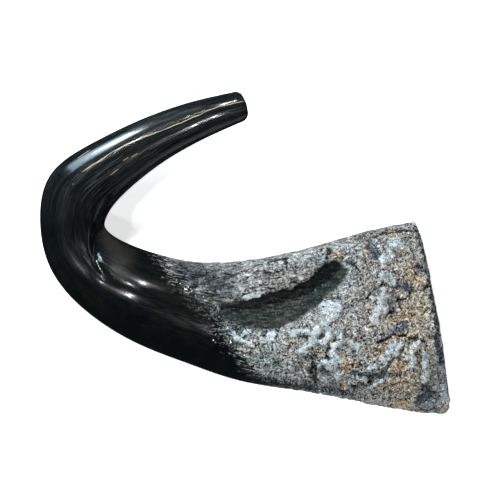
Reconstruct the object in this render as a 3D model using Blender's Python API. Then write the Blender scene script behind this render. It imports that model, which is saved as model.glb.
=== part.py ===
"""A single buffalo horn sheath, sawn from the skull, lying as it rests on a table.

The horn is one grown piece of keratin: a wide, lumpy boss at +X, a hooked arm that
sweeps round at -X, and a blunt polished tip. It is hollow where the bony core was.
Metres, +Z up. The origin is the middle of the bottom of the horn's box.
"""

import math

import bmesh
import bpy
import numpy as np
from mathutils import Matrix

MM = 0.001

# The horn is a loft between two rails seen from above: the hollow side of the hook and
# the back of the hook. Each station also has the height of the crest and of the widest
# line, and how square the section is (2 is an ellipse). Millimetres, before centring.
#           inner rail    outer rail   crest wide squareness
STATIONS = (
    ((155, 16), (186, -155), 62, 20, 2.5),  # the saw cut beside the skull's midline
    ((111, 7), (129, -147.5), 78, 20, 2.5),
    ((60, -7.5), (69, -134.5), 85, 24, 2.4),
    ((9, -17.5), (7, -125), 84, 33, 2.2),
    ((-35, -19.5), (-45, -108), 81, 40, 2.0),  # the neck, where the boss becomes a tube
    ((-73, -12), (-92, -89.5), 75, 38, 2.0),
    ((-104, -0.5), (-135, -62.5), 67, 34, 2.0),
    ((-118, 9.5), (-166, -27), 61, 31, 2.0),  # the bend of the hook
    ((-119.5, 16.5), (-176.5, 16), 57, 29, 2.0),
    ((-115, 26), (-167, 58), 56, 30, 2.0),
    ((-101, 42), (-130, 85.5), 56, 32, 2.0),
    ((-69, 67), (-87, 105.5), 58, 38, 2.0),
    ((-33, 87), (-45, 119.5), 61, 45, 2.0),
    ((2, 102), (-6.5, 127.5), 66, 53, 2.0),  # where the blunt tip starts to round over
)
UNDERSIDE = (0, 0, 0, 3, 6, 5, 2, 0.2, 0.6, 3.5, 8, 18, 29, 40)  # lowest line of the tube, mm
OPEN_DROP = 46  # how far the boss's lower half is sunk below the table, to be sawn off, mm
OPEN_FROM, OPEN_TO = 2.7, 3.8  # stations over which the underside closes

TIP_ROUND = 7.5  # radius of the blunt tip's edge, mm
TIP_RISE = 0.2  # how steeply the tip points up
TIP_TURNS = (22, 45, 65, 80, 90)  # the rings that round it over, degrees

SIDE_WALL = (15, 12, 11, 10, 10, 12, 14, 17, 20)  # thickness of the sheath at its sides, mm
CREST_WALL = (30, 34, 34, 30, 20, 16, 16, 18, 20)  # and under the crest
CAVITY_END = 7.6  # the station where the hollow runs out to a rounded point
CAVITY_TAPER_FROM = 3.0
CAVITY_SQUARENESS = 2.3  # at most
CUT_CLEARANCE = 6  # how far a cutter runs past the face that it cuts, mm

RIM_ARCH = 4.5  # the sawn rim rises this much between its corners and the neck, mm
RIM_LENGTH = 205  # from the saw cut to where the rim meets the tube's underside, mm
RIM_HALF_SPAN = 140
RIM_DEPTH = 80
RIM_STEPS = 16
RIM_OVERRUN = 0.06  # share of its length that the cutter runs past each end

# The trough between the boss's upper roll and its main mass: points along its floor from
# the deep pocket to where it fades, each (x, y, half-width, depth). Millimetres.
TROUGH = (
    (88, -20, 9, 10),
    (70, -38, 15, 20),
    (47, -50, 19, 21),
    (22, -56, 18, 15),
    (-2, -60, 15, 8),
    (-22, -62, 12, 0),
)
# The fold inside the hook's elbow, in the same terms.
FOLD = (
    (-119, 20, 3, 9),
    (-121, 6, 5, 8),
    (-120, -10, 7, 4),
    (-116, -24, 8, 0),
)
# Broad swellings (+) and dips (-) of the boss: (x, y, radius along, radius across, height).
SWELLINGS = (
    (98, -106, 42, 26, 5),
    (40, -100, 34, 20, 3),
    (66, -6, 40, 9, 3),
    (138, -40, 20, 34, -4),
    (172, -128, 13, 26, -6),
)

SURFACE_BLEND = 14  # all of these fade in over this height above the widest line, mm

RINGS_PER_STATION = 6
RING_POINTS = 44
CAVITY_RINGS = 26
CAVITY_RING_POINTS = 30
PATH_POINTS = 60


def spline(values, where):
    """A natural cubic spline through values at 0, 1, 2 and so on, read at where."""
    values = np.asarray(values, float)
    n = len(values)
    system = np.eye(n)
    pull = np.zeros_like(values)
    for i in range(1, n - 1):
        system[i, i - 1 : i + 2] = 1, 4, 1
        pull[i] = 6 * (values[i + 1] - 2 * values[i] + values[i - 1])
    bend = np.linalg.solve(system, pull)
    where = np.asarray(where, float)
    i = np.clip(np.floor(where).astype(int), 0, n - 2)
    b = where - i
    a = 1 - b
    if values.ndim > 1:
        a, b = a[:, None], b[:, None]
    curve = a * values[i] + b * values[i + 1]
    return curve + ((a**3 - a) * bend[i] + (b**3 - b) * bend[i + 1]) / 6


def smoothstep(x):
    x = np.clip(x, 0, 1)
    return x * x * (3 - 2 * x)


def section(inner, outer, crest, wide, low, squareness, count):
    """One closed ring in the upright plane through two rail points, in millimetres."""
    turn = np.linspace(0, 2 * math.pi, count, endpoint=False)
    power = 2 / squareness
    across = np.sign(np.cos(turn)) * np.abs(np.cos(turn)) ** power
    rise = np.sign(np.sin(turn)) * np.abs(np.sin(turn)) ** power
    middle, half = (inner + outer) / 2, (inner - outer) / 2
    plan = middle + across[:, None] * half
    height = wide + np.where(rise > 0, rise * (crest - wide), rise * (wide - low))
    return np.column_stack([plan, height])


def horn_frames(where):
    """The rails and heights of the horn's outside at fractional stations."""
    inner = spline([s[0] for s in STATIONS], where)
    outer = spline([s[1] for s in STATIONS], where)
    crest, wide, squareness = (spline([s[k] for s in STATIONS], where) for k in (2, 3, 4))
    open_share = 1 - smoothstep((where - OPEN_FROM) / (OPEN_TO - OPEN_FROM))
    low = spline(UNDERSIDE, where) - OPEN_DROP * open_share
    return inner, outer, crest, wide, low, squareness


def along(path, points):
    """Each point's nearest place on a path: its distance, and the path's other two values there."""
    path = spline(path, np.linspace(0, len(path) - 1, PATH_POINTS))
    gap = np.linalg.norm(points[:, None, :2] - path[None, :, :2], axis=2)
    nearest = gap.argmin(axis=1)
    return gap.min(axis=1), path[nearest, 2], path[nearest, 3]


def shape_surface(ring, wide):
    """Presses the trough and the fold into the upper side of a ring, and raises the swellings."""
    upper = smoothstep((ring[:, 2] - wide) / SURFACE_BLEND)
    change = np.zeros(len(ring))
    for path in (TROUGH, FOLD):
        gap, half_width, depth = along(path, ring)
        change -= depth * np.exp(-((gap / half_width) ** 2))
    for x, y, reach_x, reach_y, height in SWELLINGS:
        away = ((ring[:, 0] - x) / reach_x) ** 2 + ((ring[:, 1] - y) / reach_y) ** 2
        change += height * np.exp(-away)
    ring[:, 2] += change * upper
    return ring


def outside_rings():
    """The horn's outer skin from the saw cut to the blunt tip."""
    last = len(STATIONS) - 1
    where = np.linspace(0, last, last * RINGS_PER_STATION + 1)
    frames = horn_frames(where)
    rings = []
    for inner, outer, crest, wide, low, squareness in zip(*frames):
        ring = section(inner, outer, crest, wide, low, squareness, RING_POINTS)
        rings.append(shape_surface(ring, wide))
    across = rings[-1][0] - rings[-1][RING_POINTS // 2]
    ahead = np.array([-across[1], across[0], 0.0])
    if ahead[0] < 0:
        ahead = -ahead
    ahead /= np.linalg.norm(ahead)
    ahead[2] = TIP_RISE
    end = rings[-1]
    middle = end.mean(axis=0)
    half_width = np.linalg.norm(across) / 2
    for turn in np.radians(TIP_TURNS):
        shrink = 1 - TIP_ROUND / half_width * (1 - math.cos(turn))
        advance = TIP_ROUND * math.sin(turn)
        rings.append(middle + (end - middle) * shrink + ahead * advance)
    return rings


def cavity_rings():
    """The hollow that the bony core filled, from beyond the saw cut to its rounded end."""
    where = CAVITY_END * np.sin(np.linspace(0, math.pi / 2, CAVITY_RINGS))
    inner, outer, crest, wide, low, squareness = horn_frames(where)
    side = spline(SIDE_WALL, where)[:, None]
    top = spline(CREST_WALL, where)
    reach = (where - CAVITY_TAPER_FROM) / (CAVITY_END - CAVITY_TAPER_FROM)
    size = np.sqrt(np.clip(1 - np.clip(reach, 0, 1) ** 2, 0.0004, 1))
    middle, half = (inner + outer) / 2, (inner - outer) / 2
    length = np.linalg.norm(half, axis=1)[:, None]
    half = half * (length - side) / length * size[:, None]
    level = (crest - top + low + side[:, 0]) / 2
    level = wide + (level - wide) * (1 - size)
    roof = level + (crest - top - level) * size
    floor = level - (level - low - side[:, 0]) * size
    rings = [
        section(m + h, m - h, r, v, f, min(q, CAVITY_SQUARENESS), CAVITY_RING_POINTS)
        for m, h, r, v, f, q in zip(middle, half, roof, level, floor, squareness)
    ]
    away = (rings[0] - rings[1]).mean(axis=0)
    away[2] = 0
    return [rings[0] + away / np.linalg.norm(away) * CUT_CLEARANCE, *rings]


def rim_rings():
    """The block under the boss whose arched top is the sawn rim."""
    cut_inner, cut_outer = (np.array(p, float) for p in STATIONS[0][:2])
    edge = (cut_inner - cut_outer) / np.linalg.norm(cut_inner - cut_outer)
    inward = np.array([-edge[1], edge[0]])
    if inward[0] > 0:
        inward = -inward
    middle = (cut_inner + cut_outer) / 2
    rings = []
    for share in (-RIM_OVERRUN, *np.linspace(0, 1, RIM_STEPS + 1), 1 + RIM_OVERRUN):
        arch = RIM_ARCH * math.sin(math.pi * min(max(share, 0), 1))
        at = middle + inward * share * RIM_LENGTH
        corners = [(1, arch), (-1, arch), (-1, -RIM_DEPTH), (1, -RIM_DEPTH)]
        rings.append(np.array([[*(at + edge * y * RIM_HALF_SPAN), z] for y, z in corners]))
    return rings


def loft(name, rings):
    """A closed solid through rings of equal count, with flat caps, in metres."""
    mesh_builder = bmesh.new()
    loops = [[mesh_builder.verts.new(p * MM) for p in ring] for ring in rings]
    for near, far in zip(loops, loops[1:]):
        for i in range(len(near)):
            j = (i + 1) % len(near)
            mesh_builder.faces.new((near[i], near[j], far[j], far[i]))
    mesh_builder.faces.new(loops[0])
    mesh_builder.faces.new(loops[-1])
    bmesh.ops.recalc_face_normals(mesh_builder, faces=mesh_builder.faces)
    mesh = bpy.data.meshes.new(name)
    mesh_builder.to_mesh(mesh)
    mesh_builder.free()
    return bpy.data.objects.new(name, mesh)


def cut(target, cutter):
    """Takes cutter out of target with a live Boolean."""
    boolean = target.modifiers.new(f"cut_{cutter.name}", "BOOLEAN")
    boolean.operation = "DIFFERENCE"
    boolean.solver = "EXACT"
    boolean.object = cutter
    cutter.hide_render = True
    cutter.display_type = "WIRE"


def keratin():
    """Near-black polished horn."""
    material = bpy.data.materials.new("horn_keratin")
    material.use_nodes = True
    shader = material.node_tree.nodes["Principled BSDF"]
    shader.inputs["Base Color"].default_value = (0.035, 0.034, 0.032, 1)
    shader.inputs["Roughness"].default_value = 0.25
    shader.inputs["Metallic"].default_value = 0.0
    return material


def collection(name):
    made = bpy.data.collections.new(name)
    bpy.context.scene.collection.children.link(made)
    return made


def main():
    for obj in list(bpy.data.objects):
        bpy.data.objects.remove(obj)
    skin = outside_rings()
    points = np.concatenate(skin)
    low, high = points.min(axis=0), points.max(axis=0)
    centring = Matrix.Translation([-(low[0] + high[0]) / 2 * MM, -(low[1] + high[1]) / 2 * MM, 0])

    horn = loft("horn", skin)
    cavity = loft("core_cavity", cavity_rings())
    rim = loft("rim_saw", rim_rings())
    for obj in (horn, cavity, rim):
        obj.data.transform(centring)
    collection("buffalo_horn").objects.link(horn)
    cutters = collection("cutters")
    for cutter in (cavity, rim):
        cutters.objects.link(cutter)
        cut(horn, cutter)
    horn.data.materials.append(keratin())
    horn.data.shade_smooth()
    horn.data.set_sharp_from_angle(angle=math.radians(40))


main()
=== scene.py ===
# %% [markdown]
# # A polished buffalo horn
#
# A buffalo's horn is a sheath of keratin, the stuff of nails and hooves, that grows over a core
# of bone. This one was sawn off the skull and its arm was ground and polished until it shone
# like black glass. The boss, the wide base that met the other horn, was left as rough as bark
# and lacquered. The lesson builds it in the order a carver would see it: the smooth body first,
# then the hollows and ridges, then the fine bark, and last the gloss.

# %% Load the measured frame
import math
from types import SimpleNamespace

import bmesh
import bpy
import numpy as np
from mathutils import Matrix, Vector, noise


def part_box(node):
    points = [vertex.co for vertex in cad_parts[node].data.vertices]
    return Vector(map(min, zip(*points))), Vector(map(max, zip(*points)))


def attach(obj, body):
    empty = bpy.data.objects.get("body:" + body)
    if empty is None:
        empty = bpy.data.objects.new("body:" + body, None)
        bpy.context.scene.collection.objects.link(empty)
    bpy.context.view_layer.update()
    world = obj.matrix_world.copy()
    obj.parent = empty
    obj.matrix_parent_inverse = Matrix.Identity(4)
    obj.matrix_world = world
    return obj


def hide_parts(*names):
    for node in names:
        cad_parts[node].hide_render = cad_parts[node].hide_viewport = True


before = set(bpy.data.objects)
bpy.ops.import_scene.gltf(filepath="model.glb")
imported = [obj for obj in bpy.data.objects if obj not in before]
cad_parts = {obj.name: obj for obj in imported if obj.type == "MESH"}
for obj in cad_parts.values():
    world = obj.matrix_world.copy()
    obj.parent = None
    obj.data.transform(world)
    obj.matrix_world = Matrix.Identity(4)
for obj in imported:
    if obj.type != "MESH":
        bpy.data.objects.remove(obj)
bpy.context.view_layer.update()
MM = 0.001

# %% [markdown]
# ## The body of the horn
#
# Seen from above, a horn is a tube whose two sides follow two smooth lines: one round the
# hollow of the hook and one round its back. Between them stands an arched section. Lofting
# sections along two such rails is how a boat or a cow horn is drawn, and a few stations are
# enough, because a spline runs smoothly through them. The stations repeat the solid model's.

# %% The stations along the horn
#           inner rail    outer rail   crest wide squareness
STATIONS = (
    ((155, 16), (186, -155), 62, 20, 2.5),  # the saw cut
    ((111, 7), (129, -147.5), 78, 20, 2.5),
    ((60, -7.5), (69, -134.5), 85, 24, 2.4),
    ((9, -17.5), (7, -125), 84, 33, 2.2),
    ((-35, -19.5), (-45, -108), 81, 40, 2.0),  # the neck
    ((-73, -12), (-92, -89.5), 75, 38, 2.0),
    ((-104, -0.5), (-135, -62.5), 67, 34, 2.0),
    ((-118, 9.5), (-166, -27), 61, 31, 2.0),  # the bend
    ((-119.5, 16.5), (-176.5, 16), 57, 29, 2.0),
    ((-115, 26), (-167, 58), 56, 30, 2.0),
    ((-101, 42), (-130, 85.5), 56, 32, 2.0),
    ((-69, 67), (-87, 105.5), 58, 38, 2.0),
    ((-33, 87), (-45, 119.5), 61, 45, 2.0),
    ((2, 102), (-6.5, 127.5), 66, 53, 2.0),  # where the tip rounds over
)
UNDERSIDE = (0, 0, 0, 3, 6, 5, 2, 0.2, 0.6, 3.5, 8, 18, 29, 40)  # mm above the table
# Under the boss the loft goes this much lower, mm, up to these stations. The saw takes it away.
OPEN_DROP, OPEN_FROM, OPEN_TO = 46, 2.7, 3.8
LAST = len(STATIONS) - 1

# The saw cut's outer corner is both the rightmost and the nearest point of the box.
box_low, box_high = (np.array(corner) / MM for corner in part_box("horn"))
SHIFT = np.array([box_high[0] - STATIONS[0][1][0], box_low[1] - STATIONS[0][1][1], 0.0])
print("rails moved by, mm:", SHIFT.round(2))


# %% A smooth curve through the stations
def spline(values, where):
    """A natural cubic spline through values at 0, 1, 2 and so on, read at where."""
    values = np.asarray(values, float)
    n = len(values)
    system = np.eye(n)
    pull = np.zeros_like(values)
    for i in range(1, n - 1):
        system[i, i - 1 : i + 2] = 1, 4, 1
        pull[i] = 6 * (values[i + 1] - 2 * values[i] + values[i - 1])
    bend = np.linalg.solve(system, pull)
    where = np.asarray(where, float)
    i = np.clip(np.floor(where).astype(int), 0, n - 2)
    b = where - i
    a = 1 - b
    if values.ndim > 1:
        a, b = a[:, None], b[:, None]
    curve = a * values[i] + b * values[i + 1]
    return curve + ((a**3 - a) * bend[i] + (b**3 - b) * bend[i + 1]) / 6


def smoothstep(x, low=0.0, high=1.0):
    x = np.clip((x - low) / (high - low), 0, 1)
    return x * x * (3 - 2 * x)


def horn_frames(where):
    """The rails and heights of the horn's outside at fractional stations."""
    inner = spline([s[0] for s in STATIONS], where)
    outer = spline([s[1] for s in STATIONS], where)
    crest, wide, squareness = (spline([s[k] for s in STATIONS], where) for k in (2, 3, 4))
    low = spline(UNDERSIDE, where) - OPEN_DROP * (1 - smoothstep(where, OPEN_FROM, OPEN_TO))
    return inner, outer, crest, wide, low, squareness


# %% [markdown]
# ## Where the mesh needs its points
#
# The boss will carry relief only a millimetre or two across, so its rings stand about a
# millimetre apart. The polished arm is smooth, and there a ring every few millimetres is
# plenty. Round each ring the points crowd on the upper side, because the underside of the
# boss is sawn away.

# %% Rings along the horn, points round each ring
BOSS_STEP, ARM_STEP = 1.05, 4.2  # mm between rings
BOSS_UNTIL, ARM_FROM = 4.7, 5.6  # stations between which the step grows
POINTS_ROUND = 262
UNDERSIDE_SHARE = 0.22  # how dense the points are on the underside, against the top
UNDERSIDE_BAND = (-0.8, -0.3)  # sine of the turn, from sparse to dense
FINE_STEPS = 4000  # places along the horn where its length is measured
DENSE = 720  # points of the exact curve that a ring is resampled from
OVERRUN = -0.12  # the loft starts this far before the saw cut, and is cut back to it
TIP_ROUND, TIP_RISE, TIP_DOME = 7.5, 0.2, 0.7  # mm, a slope, mm
CORNER_REACH, CORNER_DEPTH = 0.15, 8.0  # the saw cut's outer corner: stations along, mm across
EDGE_REACH, EDGE_DEPTH = 0.09, 4.0  # the worn upper edge of the saw cut
TIP_TURNS = (8, 16, 25, 35, 45, 55, 65, 75, 83, 90)  # degrees, a ring at each
DOME_SHARES = (0.75, 0.5, 0.25, 0.04)  # sizes of the rings that close the tip

fine = np.linspace(OVERRUN, LAST, FINE_STEPS)
inner, outer = horn_frames(fine)[:2]
middle = (inner + outer) / 2
travel = np.concatenate([[0], np.linalg.norm(np.diff(middle, axis=0), axis=1).cumsum()])
step = BOSS_STEP + (ARM_STEP - BOSS_STEP) * smoothstep(fine, BOSS_UNTIL, ARM_FROM)
ring_count = np.concatenate([[0], (np.diff(travel) / step[1:]).cumsum()])
where_rings = np.interp(np.arange(0, ring_count[-1]), ring_count, fine)
where_rings[-1] = LAST
print("length along the middle, mm:", travel[-1].round(), "rings:", len(where_rings))


# %% One ring of the body
def section(turn, middle, half, crest, wide, low, squareness):
    """A squared-off ring in mm: half reaches to its inner rail, crest and low are its heights."""
    power = 2 / squareness
    across = np.sign(np.cos(turn)) * np.abs(np.cos(turn)) ** power
    rise = np.sign(np.sin(turn)) * np.abs(np.sin(turn)) ** power
    height = wide + np.where(rise > 0, rise * (crest - wide), rise * (wide - low))
    return np.column_stack([middle + across[:, None] * half, height])


def ring_points(inner, outer, crest, wide, low, squareness):
    """A ring that starts and ends under the horn, with its points spread as the relief needs."""
    turn = np.linspace(-math.pi / 2, 3 * math.pi / 2, DENSE + 1)
    ring = section(turn, (inner + outer) / 2, (inner - outer) / 2, crest, wide, low, squareness)
    density = UNDERSIDE_SHARE + (1 - UNDERSIDE_SHARE) * smoothstep(np.sin(turn), *UNDERSIDE_BAND)
    gaps = np.linalg.norm(np.diff(ring, axis=0), axis=1) * density[1:]
    share = np.concatenate([[0], gaps.cumsum()]) / gaps.sum()
    picked = np.interp(np.arange(POINTS_ROUND) / POINTS_ROUND, share, np.arange(DENSE + 1))
    return np.column_stack([np.interp(picked, np.arange(DENSE + 1), ring[:, k]) for k in range(3)])


def quarter_round(where, reach, depth):
    """How far an edge is rounded back, from depth at the saw cut to nothing at reach."""
    t = np.clip(1 - np.maximum(where, 0) / reach, 0, 1)
    return depth * (1 - np.sqrt(1 - t**2))


# %% The rings, with the saw cut's worn edges
inner, outer, crest, wide, low, squareness = horn_frames(where_rings)
to_inner = inner - outer
tip_half_width = np.linalg.norm(to_inner[-1]) / 2
to_inner /= np.linalg.norm(to_inner, axis=1)[:, None]
outer = outer + to_inner * quarter_round(where_rings, CORNER_REACH, CORNER_DEPTH)[:, None]
crest = crest - quarter_round(where_rings, EDGE_REACH, EDGE_DEPTH)
rings = [ring_points(*values) for values in zip(inner, outer, crest, wide, low, squareness)]
print("half the width where the tip begins, mm:", tip_half_width.round(1))

# %% The tip rounds over, then closes in a low dome
end = rings[-1]
end_middle = end.mean(axis=0)
across_end = end[POINTS_ROUND * 3 // 4] - end[POINTS_ROUND // 4]
ahead = np.array([across_end[1], -across_end[0], 0.0]) / np.linalg.norm(across_end[:2])
ahead = ahead if ahead[0] > 0 else -ahead
ahead[2] = TIP_RISE
for turn in np.radians(TIP_TURNS):
    shrink = 1 - TIP_ROUND / tip_half_width * (1 - math.cos(turn))
    rings.append(end_middle + (end - end_middle) * shrink + ahead * TIP_ROUND * math.sin(turn))
rounded = rings[-1]
rounded_middle = rounded.mean(axis=0)
for shrink in DOME_SHARES:
    dome = ahead * TIP_DOME * (1 - shrink**2)
    rings.append(rounded_middle + (rounded - rounded_middle) * shrink + dome)
body = np.array(rings)
GRID = body.shape[:2]
tip_rings = len(rings) - len(where_rings)
wide_lines = np.append(wide, np.full(tip_rings, wide[-1]))
station_of_ring = np.append(where_rings, np.full(tip_rings, LAST))
print("body grid:", GRID, "quads:", GRID[0] * GRID[1])

# %% [markdown]
# ## The broad forms of the boss
#
# Old bulls wear a boss with a deep trough between a rolled upper edge and the main mass. Its
# wall under the roll is steep and its far bank is gentle, so a soft valley is pressed in first,
# and then a region between two drawn lines, with a different slope at each. A fold in the elbow
# of the hook and a few broad swellings finish the large shape. All of these move the upper
# side straight up or down.

# %% Trough, fold and swellings
# A valley's points: x, y, half-width and depth, mm.
TROUGH = ((88, -20, 9, 10), (70, -38, 15, 20), (47, -50, 19, 21), (22, -56, 18, 15), (-2, -60, 15, 8),
          (-22, -62, 12, 0))
FOLD = ((-119, 20, 3, 9), (-121, 6, 5, 7), (-120, -10, 8, 2.5), (-116, -24, 8, 0))
# A swelling or a dip: x, y, reach along x, reach along y and height, mm.
SWELLINGS = ((98, -106, 42, 26, 5), (40, -100, 34, 20, 3), (66, -6, 40, 9, 3), (138, -40, 20, 34, -4),
             (172, -128, 13, 26, -6), (-86, -43, 30, 26, 3.2), (-25, 114, 18, 14, 1.5),
             (5, 120, 14, 14, -1.5))
SURFACE_BLEND = 14  # mm above the widest line over which the pressing takes hold

# The lip of the roll and the far bank, drawn in the finished frame, mm.
LIP = ((-22, -38), (-8, -38), (8, -34), (24, -29), (38, -27), (48, -23), (56, -17), (64, -9), (75, -2))
BANK = ((-22, -52), (2, -62), (20, -64), (32, -61), (46, -55), (63, -42), (80, -28), (88, -18), (87, -8),
        (75, -2))
LIP_DROP = (3, 6, 8, 8, 8, 8, 9, 11, 12)  # mm, from the lip's first point to its last
LIP_WIDTH, BANK_WIDTH = 4.5, 9.0  # mm over which the trough deepens from each side
# The trough's floor is darker, smoother horn, with painted shade in it
LIP_SHADE_FADE, BANK_SHADE_FADE = 1.5, 3.0  # mm over which it darkens


# %% Distances to paths and lines, and what lies inside an outline
def near_path(points, path, samples=60):
    """The distance to a splined path in plan, and the path's values at the nearest place."""
    path = spline(path, np.linspace(0, len(path) - 1, samples))
    best = np.full(len(points), np.inf)
    nearest = np.zeros(len(points), int)
    for i, spot in enumerate(path[:, :2]):
        gap = np.hypot(points[:, 0] - spot[0], points[:, 1] - spot[1])
        closer = gap < best
        best[closer] = gap[closer]
        nearest[closer] = i
    return best, path[nearest]


def near_line(points, line):
    """The exact distance in plan to a line of straight pieces, and how far along it, 0 to 1."""
    line = np.asarray(line, float)
    best = np.full(len(points), np.inf)
    along = np.zeros(len(points))
    pieces = len(line) - 1
    for i, (start, stop) in enumerate(zip(line, line[1:])):
        run = stop - start
        t = np.clip(((points[:, :2] - start) @ run) / (run @ run), 0, 1)
        gap = np.linalg.norm(points[:, :2] - start - t[:, None] * run, axis=1)
        closer = gap < best
        best[closer] = gap[closer]
        along[closer] = (i + t[closer]) / pieces
    return best, along


def inside(points, outline):
    """Which points lie inside a closed outline in plan."""
    x, y = points[:, 0], points[:, 1]
    result = np.zeros(len(points), bool)
    for (x0, y0), (x1, y1) in zip(outline, outline[1:] + outline[:1]):
        if y0 != y1:
            result ^= ((y0 > y) != (y1 > y)) & (x < (x1 - x0) * (y - y0) / (y1 - y0) + x0)
    return result


# %% Press the broad forms in
skin = body.reshape(-1, 3).copy()
upper = smoothstep((skin[:, 2] - np.repeat(wide_lines, POINTS_ROUND)) / SURFACE_BLEND)
change = np.zeros(len(skin))
for path in (TROUGH, FOLD):
    gap, at = near_path(skin, path)
    change -= at[:, 3] * np.exp(-((gap / at[:, 2]) ** 2))
for x, y, reach_x, reach_y, height in SWELLINGS:
    away = ((skin[:, 0] - x) / reach_x) ** 2 + ((skin[:, 1] - y) / reach_y) ** 2
    change += height * np.exp(-away)
skin[:, 2] += change * upper
skin += SHIFT
print("pressed, mm, from", change.min().round(1), "to", change.max().round(1))

# %% Carve the trough along uneven lines
BOSS_FROM = -70  # x in mm: nothing is drawn with a wobble on the polished side of this
LINE_WOBBLES = ((1.1, 9, 0), (1.2, 3.2, 3))  # how far lines stray, over what length, mm, and a seed
SEED_STEP = (17.3, 5.1, 9.7)  # how far apart in the noise two seeds are read


def wobble(points, size, seed):
    """Smooth noise from -1 to 1 at each point, for lines that nature drew and no ruler did."""
    offset = Vector([seed * part for part in SEED_STEP])
    return np.array([noise.noise(Vector(p) / size + offset) for p in points])


on_boss = np.flatnonzero(skin[:, 0] > BOSS_FROM)
drawn = skin.copy()
for axis in (0, 1):
    for stray, size, seed in LINE_WOBBLES:
        drawn[on_boss, axis] += stray * wobble(skin[on_boss], size, axis + seed)

in_trough = inside(drawn, LIP + BANK[::-1]) & (upper > 0)
to_lip, along_lip = near_line(drawn, LIP)
to_bank = near_line(drawn, BANK)[0]
trough = in_trough * smoothstep(to_lip / LIP_WIDTH) * smoothstep(to_bank / BANK_WIDTH)
skin[:, 2] -= trough * np.interp(along_lip, np.linspace(0, 1, len(LIP_DROP)), LIP_DROP)
# Dark smooth horn in the trough, darkened further by painted shade
dusk = in_trough * smoothstep(to_lip / LIP_SHADE_FADE) * smoothstep(to_bank / BANK_SHADE_FADE)
print("points in the trough:", int(in_trough.sum()))

# %% [markdown]
# ## Ridges, cracks and polished hollows
#
# Between the broad forms and the fine bark there are features a few millimetres wide, each of
# them different: pale polished ridges with painted highlights on their tops and painted shadow
# round them, black cracks, black painted shadow at the foot of a step, smooth dark hollows,
# stains of brown residue, and painted shade near the trough and along the edges. A sculptor
# would draw them one at a time, so they are strokes here, each a short line with a half-width, a
# rise and a tint. The lines are read through a wobble, and their width varies too, which makes
# them as uneven as the rest of the boss.

# %% What a stroke does to the bark's colour
# a hue, and how much lighter or darker
# Pale polished horn, made paler and bluer still by painted highlight
PALE_AND_HIGHLIT = ((0.87, 0.98, 1.07), 0.60)
# Painted highlight: the white glint on a ridge's top or on the trough's lip
PAINTED_HIGHLIGHT = ((0.92, 0.99, 1.06), 0.68)
BLACK = ((1.0, 1.0, 1.0), -0.60)
NAVY = ((0.75, 0.95, 1.30), -0.42)
MOSS = ((0.72, 1.05, 1.00), -0.40)
PLUM = ((0.95, 0.92, 1.18), -0.16)
OCHRE = ((1.24, 0.88, 0.56), 0.12)
WARM = ((1.20, 0.98, 0.72), 0.17)
# Blue-grey polished horn, lightened and blued as painted reflection on its smooth facets
STEEL_AND_REFLECTION = ((0.88, 0.98, 1.12), -0.08)
TEAL = ((0.62, 1.06, 1.02), 0.0)
FERN = ((0.84, 1.02, 0.98), -0.12)
LILAC = ((0.84, 0.95, 1.15), -0.38)
# Painted shade, darkening places where shade falls
SHADE = ((0.82, 1.0, 1.02), -0.50)
# Painted shadow round the ridges
RIDGE_SHADOW = ((0.92, 1.0, 1.03), -0.34)

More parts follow.
